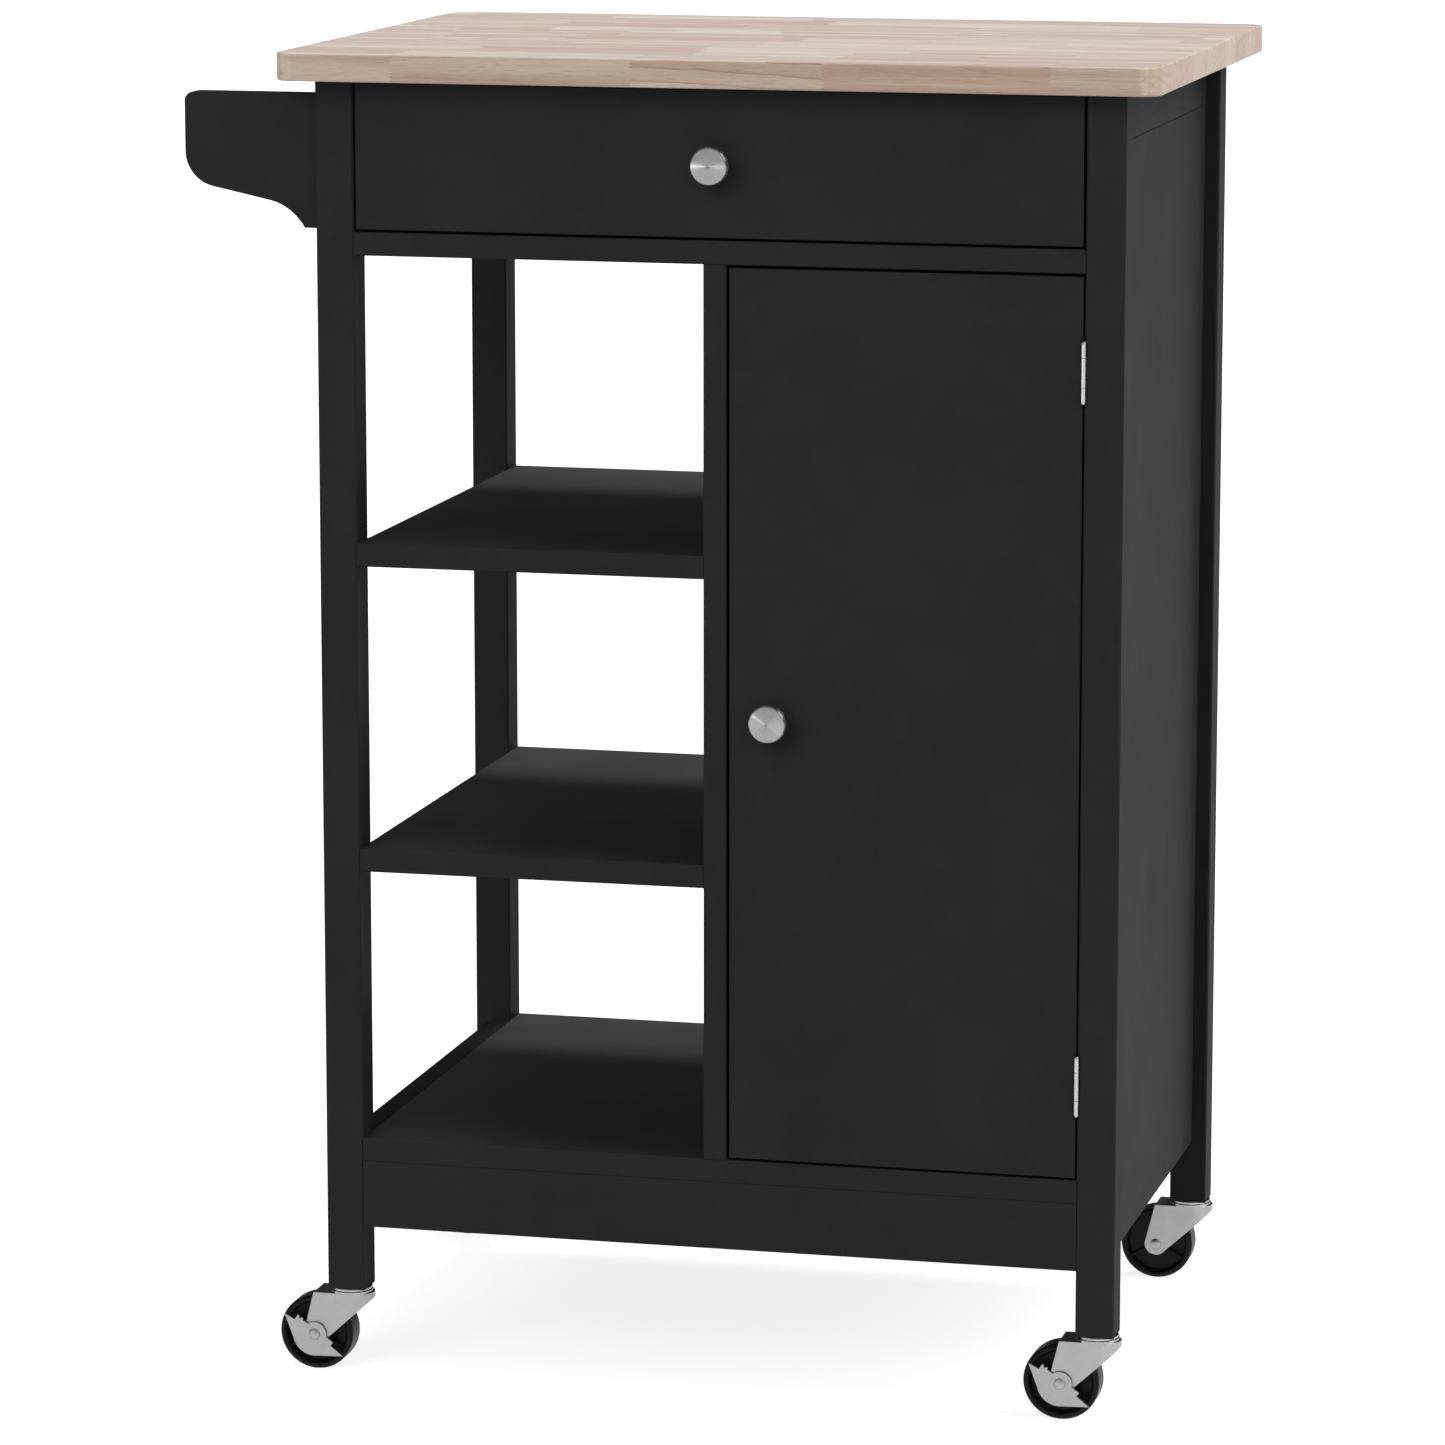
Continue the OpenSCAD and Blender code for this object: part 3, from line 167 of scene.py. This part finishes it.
def butcher_block():
    """Rubberwood staves along X, each finger-jointed from blocks cut from different places in a log."""
    t = Finish("butcher_block")
    x, y, z = t.split(t.object)
    across = t.math("DIVIDE", t.math("ADD", y, STAVES / 2 * STAVE), STAVE)
    stave = t.math("FLOOR", across)
    fingers = t.math("PINGPONG", z, FINGER_PITCH / 2)
    along = t.math("ADD", x, t.product(fingers, 2 * FINGER_DEPTH / FINGER_PITCH))
    place = t.math("ADD", t.math("DIVIDE", along, BLOCK), t.product(stave, STAVE_SHIFT))
    cell, edge = (
        t.node("ShaderNodeTexVoronoi", {"W": place, "Scale": 1.0}, voronoi_dimensions="1D", feature=feature)
        for feature in ("F1", "DISTANCE_TO_EDGE"))
    seed = t.math("ADD", t.product(cell.outputs["W"], 3.17), t.product(stave, 1.7))
    tone, hue, figure, out_y, out_z, lean_y, lean_z = (
        t.chance(seed, turn) for turn in (2.0, 13.3, 29.9, 31.7, 44.1, 53.3, 79.9))
    end_grain = t.spread(t.math("ABSOLUTE", t.normal[0]), 0.6, 0.95)
    upright = t.math("ABSOLUTE", t.normal[2])

    # Each block's own piece of the tree
    shift = t.join(t.product(tone, 5.0), t.product(hue, 3.0), t.product(figure, 4.0))
    here = t.vector("ADD", t.object, shift)
    bands = t.noise(here, (1.5, 52.0, 52.0), 2.0, 0.5)
    streaks = t.noise(here, (3.0, 190.0, 190.0), 4.0, 0.6, 0.1)
    fibre = t.noise(here, (26.0, 1000.0, 1000.0), 3.0, 0.6)
    pores = t.spread(t.noise(here, (90.0, 1700.0, 1700.0), 1.0, 0.5), 0.60, 0.72)
    blush = t.noise(here, (14.0, 60.0, 60.0), 3.0, 0.6, 0.5)

    # Growth rings round a leaning pith beside the block: dark late wood, then pale early wood
    along_pith = t.math("SUBTRACT", x, t.product(t.math("SUBTRACT", figure, 0.5), 0.2))
    pith_y, pith_z = (
        t.math("ADD", t.product(t.math("SUBTRACT", out, 0.5), off),
               t.product(t.math("SUBTRACT", lean, 0.5), slope, along_pith))
        for out, off, lean, slope in zip((out_y, out_z), PITH_OFF, (lean_y, lean_z), PITH_LEAN))
    from_y = t.math("ADD", t.product(t.math("FRACT", across), STAVE), pith_y)
    from_z = t.math("ADD", t.math("SUBTRACT", z, WORKTOP_MIDDLE), pith_z)
    reach = t.math("SQRT", t.math("ADD", t.product(from_y, from_y), t.product(from_z, from_z)))
    strayed = t.math("ADD", reach, t.product(t.noise(here, (9.0, 34.0, 34.0), 3.0, 0.5), WANDER))
    year = t.math("FRACT", t.math("DIVIDE", strayed, RINGS))
    late = t.math("POWER", year, 7.0)
    early = t.math("POWER", t.math("SUBTRACT", 1.0, year), 3.0)
    on_sides = t.spread(upright, 0.9, 0.3, 0.55, 1.0)
    shown = t.product(on_sides, t.math("MAXIMUM", t.math("POWER", figure, 1.4), t.product(end_grain, 0.35)))

    base = t.mix(tone, srgb(209, 192, 181), srgb(223, 211, 202))
    base = t.mix(t.spread(hue, 0.55, 0.90, 0.0, 0.75), base, srgb(210, 184, 173))
    base = t.mix(t.spread(hue, 0.3, 0.0, 0.0, 0.6), base, srgb(216, 203, 187))
    drawn = t.spread(end_grain, 0.0, 1.0, 1.0, 0.25)
    for pattern, low, high, strength, colour in (
            (bands, 0.50, 0.64, 0.70, srgb(233, 224, 215)),
            (bands, 0.50, 0.36, 0.50, srgb(204, 180, 168)),
            (streaks, 0.52, 0.66, 0.60, srgb(236, 228, 220)),
            (streaks, 0.48, 0.32, 0.65, srgb(195, 168, 154))):
        base = t.mix(t.product(t.spread(pattern, low, high, 0.0, strength), drawn), base, colour)
    base = t.mix(t.product(early, t.product(shown, 0.45)), base, EARLY_WOOD)
    base = t.mix(t.product(late, t.product(shown, 0.90)), base, LATE_WOOD)
    base = t.mix(t.spread(blush, 0.54, 0.74, 0.0, 0.50), base, srgb(201, 162, 147))
    base = t.mix(t.spread(fibre, 0.48, 0.75, 0.0, 0.30), base, srgb(190, 165, 149))
    base = t.mix(t.product(pores, 0.35), base, srgb(154, 121, 101))

    # Pin knots, few and small
    pins = t.node("ShaderNodeTexVoronoi", {"Vector": t.vector("MULTIPLY", here, (1.0, 2.0, 2.0)),
                                           "Scale": PIN_KNOTS}).outputs["Distance"]
    base = t.mix(t.spread(pins, 0.034, 0.012, 0.0, 0.65), base, srgb(136, 100, 80))

    # Glue lines between staves and between blocks
    off_centre = t.math("ABSOLUTE", t.math("SUBTRACT", t.math("FRACT", across), 0.5))
    stave_seam = t.spread(off_centre, 0.5 - SEAM / STAVE, 0.5)
    block_seam = t.spread(edge.outputs["Distance"], JOINT / BLOCK, 0.0)
    seam = t.math("MAXIMUM", t.product(stave_seam, 0.6), block_seam)
    base = t.mix(t.product(seam, 0.30), base, srgb(150, 118, 98))

    # The sides are tinted warmer and darker than the top, the end grain half as much: painted light that
    # stands in for the pale sheen on the top
    painted_sheen_contrast = t.product(t.spread(upright, 0.9, 0.3), t.spread(end_grain, 0.0, 1.0, 1.0, 0.5))
    base = t.mix(painted_sheen_contrast, base, t.mix(1.0, base, PAINTED_SHEEN_SIDES_TINT, "MULTIPLY"))

    t.set(Base_Color=base, Specular_IOR_Level=0.30,
          Roughness=t.spread(t.math("ADD", fibre, t.product(tone, 0.3)), 0.2, 1.0, 0.44, 0.60))
    relief = t.math("SUBTRACT", t.product(fibre, 0.35),
                    t.math("ADD", t.product(pores, 0.5), t.product(seam, 0.8)))
    t.set(Normal=t.bump(relief, 0.00012, 0.8))
    return t.material


# ------------------------------------------------------------------ the other materials

PAINT_GLOSS, WORN_GLOSS = 0.006, 0.9  # specular levels; the second is for upper faces of worn paint


def painted(name, grain, worn=False):
    """Black eggshell paint over sanded wood: a faint mottle, roller texture and the grain showing through.
    grain is the stretch of the wood below, along X, Y and Z. A worn paint is wiped shinier on top."""
    t = Finish(name)
    mottle = t.noise(t.object, 9.0, 4.0, 0.6, 0.4)
    cloud = t.noise(t.object, 60.0, 2.0, 0.5)
    peel = t.noise(t.object, 750.0, 2.0, 0.5)
    wood = t.noise(t.object, grain, 3.0, 0.6)
    base = t.mix(t.spread(mottle, 0.35, 0.65), srgb(46, 46, 47), srgb(50, 50, 50))
    base = t.mix(t.spread(cloud, 0.45, 0.75, 0.0, 0.5), base, srgb(52, 52, 52))
    gloss = t.spread(t.normal[2], 0.7, 0.95, PAINT_GLOSS, WORN_GLOSS) if worn else PAINT_GLOSS
    t.set(Base_Color=base, Specular_IOR_Level=gloss,
          Roughness=t.spread(t.math("ADD", t.product(mottle, 0.6), t.product(wood, 0.4)),
                             0.3, 0.7, 0.40, 0.52),
          Normal=t.bump(t.math("ADD", peel, t.product(wood, 0.7)), 0.00004, 0.6))
    return t.material


def raw_wood():
    """Unfinished pale wood of the drawer box, runners, supports and dowels."""
    t = Finish("raw_wood")
    growth = t.noise(t.object, (9.0, 7.0, 55.0), 4.0, 0.55, 0.5)
    lines = t.math("SINE", t.product(growth, 60.0))
    fibre = t.noise(t.object, (60.0, 45.0, 1100.0), 3.0, 0.6)
    base = t.mix(growth, srgb(222, 199, 170), srgb(206, 176, 143))
    base = t.mix(t.spread(lines, 0.0, 1.0, 0.0, 0.22), base, srgb(176, 141, 108))
    base = t.mix(t.spread(fibre, 0.45, 0.75, 0.0, 0.35), base, srgb(186, 154, 122))
    t.set(Base_Color=base, Specular_IOR_Level=0.3,
          Roughness=t.spread(fibre, 0.3, 0.8, 0.62, 0.82),
          Normal=t.bump(fibre, 0.00010, 0.7))
    return t.material


def even(size):
    """The same number three times: a grey, or an even stretch along X, Y and Z."""
    return (size, size, size)


def metal(name, grey, rough, scratch, edge=0.0003):
    """Plated steel of an sRGB grey, with a fine satin grain and softened edges. scratch is the grain's
    stretch along X, Y and Z."""
    t = Finish(name)
    grain = t.noise(t.object, scratch, 3.0, 0.6)
    cloud = t.noise(t.object, 120.0, 3.0, 0.6)
    t.base = t.mix(t.spread(cloud, 0.3, 0.7), srgb(*grey, 0.95), srgb(*grey, 1.05))
    t.rough = t.spread(t.math("ADD", grain, t.product(cloud, 0.5)), 0.5, 1.0, rough - 0.05, rough + 0.06)
    t.soft = t.soft_edge(edge)
    t.set(Base_Color=t.base, Metallic=1.0, Roughness=t.rough,
          Normal=t.bump(grain, 0.00002, 0.4, t.soft.outputs["Normal"]))
    return t


def turned_nickel():
    """Satin nickel of the knobs, with the fine rings that a lathe leaves round their Y axis."""
    t = metal("turned_nickel", (160, 159, 158), 0.29, even(900.0), 0.0005)
    t.set(Anisotropic=0.98, Anisotropic_Rotation=0.25,
          Tangent=t.node("ShaderNodeTangent", direction_type="RADIAL", axis="Y").outputs["Tangent"])
    return t.material


RACE_DEPTH = 0.0018  # of the swivel race in the top of a fork
BRAKE_SHEET = 0.0015  # thickness of a brake plate


def pressed_steel():
    """Zinc plated pressings of the forks and stems, polished where the swivel race turns. The flat tops are
    dulled by a film of dust."""
    t = metal("pressed_zinc_steel", even(170), 0.38, even(700.0))
    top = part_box("fork_front_left")[1][2]
    race = t.spread(t.split(t.object)[2], top - RACE_DEPTH, top - RACE_DEPTH + 0.0002)
    t.put(t.soft.inputs["Radius"], t.spread(race, 0.0, 1.0, 0.0005, 0.0009))
    dust = t.product(t.spread(t.normal[2], 0.8, 0.98, 0.0, 0.65), t.math("SUBTRACT", 1.0, race))
    t.set(Roughness=t.mix(race, t.rough, (*even(0.15), 1.0)), Metallic=t.math("SUBTRACT", 1.0, dust))
    return t.material


def brake_steel():
    """The brake plates: plated pressings whose folded tabs are painted near black and matt, as painted
    shade where they lie in shadow.
    """
    t = metal("brake_steel", even(168), 0.38, even(700.0), 0.0004)
    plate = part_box("brake_front_left")[0][1] + BRAKE_SHEET
    fold = abs(plate - swivel_row())
    # The folded tabs are painted dark and matt: painted shade
    painted_tab_shade = t.spread(from_swivel(t), fold - 0.0001, fold - 0.0003)
    t.set(Base_Color=t.mix(painted_tab_shade, t.base, srgb(30, 30, 30)), Metallic=t.math("SUBTRACT", 1.0, painted_tab_shade))
    return t.material


def swivel_row():
    """Y of the front swivels; the rear ones mirror it."""
    low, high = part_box("wheel_front_left")
    return (low[1] + high[1]) / 2


def from_swivel(t):
    """Distance along Y from the plane of the nearer swivels."""
    return t.math("ABSOLUTE", t.math("ADD", t.math("ABSOLUTE", t.split(t.object)[1]), swivel_row()))


def black_plastic():
    """Moulded nylon of the wheels: the recessed web near black as painted shade, a lighter rim as a painted
    highlight, and a grey bloom on the tread that is partly dust and partly painted light.
    """
    t = Finish("black_plastic")
    low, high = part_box("wheel_front_left")
    half = (high[1] - low[1]) / 2
    skin = t.noise(t.object, 1400.0, 2.0, 0.5)
    dust = t.noise(t.object, 95.0, 4.0, 0.6)
    # The face of the rim is painted lighter: a painted highlight
    painted_rim_highlight = t.spread(from_swivel(t), half - 0.0010, half - 0.0003)
    # Grey on the tread, lighter towards its middle: partly dust, partly painted light
    tread = t.product(t.spread(t.math("ABSOLUTE", t.normal[1]), 0.7, 0.3),
                      t.spread(from_swivel(t), half, half - 0.003, 0.5, 1.0))
    # The base black is left deepest on the recessed web: painted shade there
    base = t.mix(t.spread(dust, 0.4, 0.7), srgb(5, 5, 5), srgb(9, 9, 9))
    base = t.mix(t.product(painted_rim_highlight, 0.8), base, srgb(24, 24, 24))
    base = t.mix(t.product(tread, t.spread(dust, 0.3, 0.7, 0.6, 0.9)), base, srgb(32, 30, 29))
    t.set(Base_Color=base, Specular_IOR_Level=0.16,
          Roughness=t.spread(dust, 0.3, 0.7, 0.34, 0.48),
          Normal=t.bump(skin, 0.00003, 0.6, t.soft_edge(0.0006).outputs["Normal"]))
    return t.material


ALONG, CROSS = 14.0, 420.0  # stretch of the wood under the paint, along and across its grain
WOOD_TOP = butcher_block()
PAINT_X = painted("paint_over_x_grain", (ALONG, CROSS, CROSS))
PAINT_SHELF = painted("paint_on_shelves", (ALONG, CROSS, CROSS), worn=True)
PAINT_Y = painted("paint_over_y_grain", (CROSS, ALONG, CROSS))
PAINT_Z = painted("paint_over_z_grain", (CROSS, CROSS, ALONG))
RAW = raw_wood()
TURNED = turned_nickel()
NICKEL = metal("satin_nickel", (186, 185, 184), 0.26, even(900.0)).material
NICKEL_BAR = metal("satin_nickel_bar", (172, 171, 170), 0.28, (1500.0, 30.0, 1500.0)).material
ZINC = metal("zinc_steel", (176, 177, 178), 0.34, even(500.0)).material
PRESSED = pressed_steel()
BRAKE = brake_steel()
PLASTIC = black_plastic()

LOOKS = {
    WOOD_TOP: ["worktop"],
    PAINT_Z: ["post_front_left", "post_front_right", "post_rear_left", "post_rear_right",
              "side_panel_right", "divider", "back_panel", "door"],
    PAINT_X: ["apron_front", "apron_rear", "rail_rear", "bay_floor", "drawer_front",
              "towel_bracket_front", "towel_bracket_rear"],
    PAINT_SHELF: ["bottom_board", "shelf_upper", "shelf_lower", "cabinet_shelf"],
    PAINT_Y: ["rail_lower_left", "rail_upper_left", "rail_upper_right"],
    RAW: ["frame_dowels", "drawer_side_left", "drawer_side_right", "drawer_back", "drawer_bottom",
          "drawer_dowels", "drawer_runners", "shelf_supports"],
    TURNED: ["door_knob", "drawer_knob"],
    NICKEL: ["hinge_leaves_frame", "hinge_leaves_door", "hinge_pins"],
    NICKEL_BAR: ["towel_bar"],
    ZINC: ["bracket_screws", "door_knob_screw", "drawer_knob_screw", "hinge_screws", "door_screws",
           "small_screws", "catch_strike"],
    PRESSED: [kind + c for kind in ("fork_", "axle_") for c in CORNERS] + ["caster_stems"],
    BRAKE: ["brake_" + c for c in BRAKED],
    PLASTIC: ["wheel_" + c for c in CORNERS] + ["catch_magnet"],
}
for material, names in LOOKS.items():
    for name in names:
        slots = NODES[name].material_slots
        if not slots:
            NODES[name].data.materials.append(None)
        for slot in slots:
            slot.link = "OBJECT"
            slot.material = material
undressed = sorted(set(NODES) - {name for names in LOOKS.values() for name in names})
if undressed:
    raise RuntimeError(f"no material for {undressed}")


# ------------------------------------------------------------------ stage, lights and camera

FLOOR_HALF = 60.0  # from its middle to a side
FLOOR_GLOW = 0.82  # seen by the camera and in reflections only
# The sky's brightness on all sides, how much more it has overhead, and how much more in front: as it lights
# the cart, and as glossy rays see it
SKY_ALL, SKY_TOP, SKY_FRONT, SKY_FRONT_SEEN = 0.11, 0.15, 0.53, 0.46


def linked(name, data):
    """A new object in the scene."""
    made = bpy.data.objects.new(name, data)
    bpy.context.scene.collection.objects.link(made)
    return made


def stage():
    """Pale floor that runs past every view, and keeps the cart's soft shadow."""
    mesh = bpy.data.meshes.new("floor")
    mesh.from_pydata([(x * FLOOR_HALF, y * FLOOR_HALF, 0) for x, y in ((-1, -1), (1, -1), (1, 1), (-1, 1))],
                     [], [(0, 1, 2, 3)])
    floor = linked("floor", mesh)
    t = Finish("floor")
    mottle = t.noise(t.object, 3.0, 3.0, 0.5)
    t.set(Base_Color=t.mix(mottle, srgb(180, 180, 180), srgb(184, 184, 184)),
          Roughness=0.8, Specular_IOR_Level=0.1)
    path = t.node("ShaderNodeLightPath").outputs
    seen = t.math("MAXIMUM", path["Is Camera Ray"],
                  t.math("MAXIMUM", path["Is Glossy Ray"], path["Is Transmission Ray"]))
    t.set(Emission_Color=(1, 1, 1, 1), Emission_Strength=t.product(seen, FLOOR_GLOW))
    mesh.materials.append(t.material)


def world():
    """Soft studio light, brightest in front, then overhead. The camera sees white. Glossy rays see the sky
    low behind the cart as black, so that the shelves' worn paint doesn't shine all over."""
    made = bpy.data.worlds.new("studio")
    bpy.context.scene.world = made
    made.use_nodes = True
    t = Tree(made.node_tree)
    _, y, z = t.split(t.texture["Generated"])
    path = t.node("ShaderNodeLightPath").outputs
    glossy = path["Is Glossy Ray"]
    level = t.math("ADD", SKY_ALL, t.product(t.math("MAXIMUM", z, 0.0), SKY_TOP))
    behind = t.product(glossy, t.spread(y, 0.1, 0.5), t.spread(z, 0.6, 0.35))
    level = t.product(level, t.math("SUBTRACT", 1.0, behind))
    level = t.math("ADD", level, t.product(t.math("MAXIMUM", t.product(y, -1.0), 0.0),
                                           t.spread(glossy, 0.0, 1.0, SKY_FRONT, SKY_FRONT_SEEN)))
    level = t.math("MAXIMUM", level, path["Is Camera Ray"])
    back = t.tree.nodes["Background"]
    t.put(back.inputs["Color"], (1, 1, 1, 1))
    t.put(back.inputs["Strength"], level)


def aim(lamp, centre, away, azimuth, elevation):
    """Puts a lamp at the distance away from centre, shining on it. Azimuth 0 is -Y of it, and 90 is +X."""
    a, e = math.radians(azimuth), math.radians(elevation)
    towards = Vector((math.sin(a) * math.cos(e), -math.cos(a) * math.cos(e), math.sin(e)))
    lamp.location = centre + away * towards
    lamp.rotation_euler = towards.to_track_quat("Z", "Y").to_euler()


def sun(name, azimuth, elevation, width, strength):
    """A broad distant lamp; width is its angle across."""
    data = bpy.data.lights.new(name, "SUN")
    data.energy, data.angle = strength, math.radians(width)
    made = linked(name, data)
    aim(made, Vector(), 3.0, azimuth, elevation)
    return made


def kicker(node, azimuth, elevation, away, size, power):
    """A small softbox, aimed at a node and seen in reflections only. It draws a line across the knobs."""
    data = bpy.data.lights.new("kicker", "AREA")
    data.energy, data.size = power, size
    made = linked("kicker", data)
    low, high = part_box(node)
    aim(made, (low + high) / 2, away, azimuth, elevation)
    made.visible_camera = made.visible_diffuse = made.visible_shadow = False


def camera(place, pitch, yaw, lens):
    """Camera turned yaw degrees to the left of +Y and pitch degrees down, without a roll."""
    data = bpy.data.cameras.new("camera")
    data.lens, data.sensor_width = lens, 36.0
    data.clip_start, data.clip_end = 0.1, 200.0
    made = linked("camera", data)
    made.location = place
    made.rotation_euler = (math.radians(90.0 - pitch), 0.0, math.radians(yaw))
    bpy.context.scene.camera = made


stage()
world()
sun("key", azimuth=92.0, elevation=37.0, width=40.0, strength=1.78)
front = sun("front", azimuth=-20.0, elevation=30.0, width=30.0, strength=0.74)
front.visible_glossy = False
sun("back", azimuth=170.0, elevation=60.0, width=14.0, strength=1.1)
kicker("drawer_knob", azimuth=-36.0, elevation=-5.0, away=2.6, size=0.14, power=3.2)
camera(place=(0.9778, -4.0355, 1.1541), pitch=10.126, yaw=13.738, lens=156.54)
bpy.context.scene.view_settings.view_transform = "Standard"
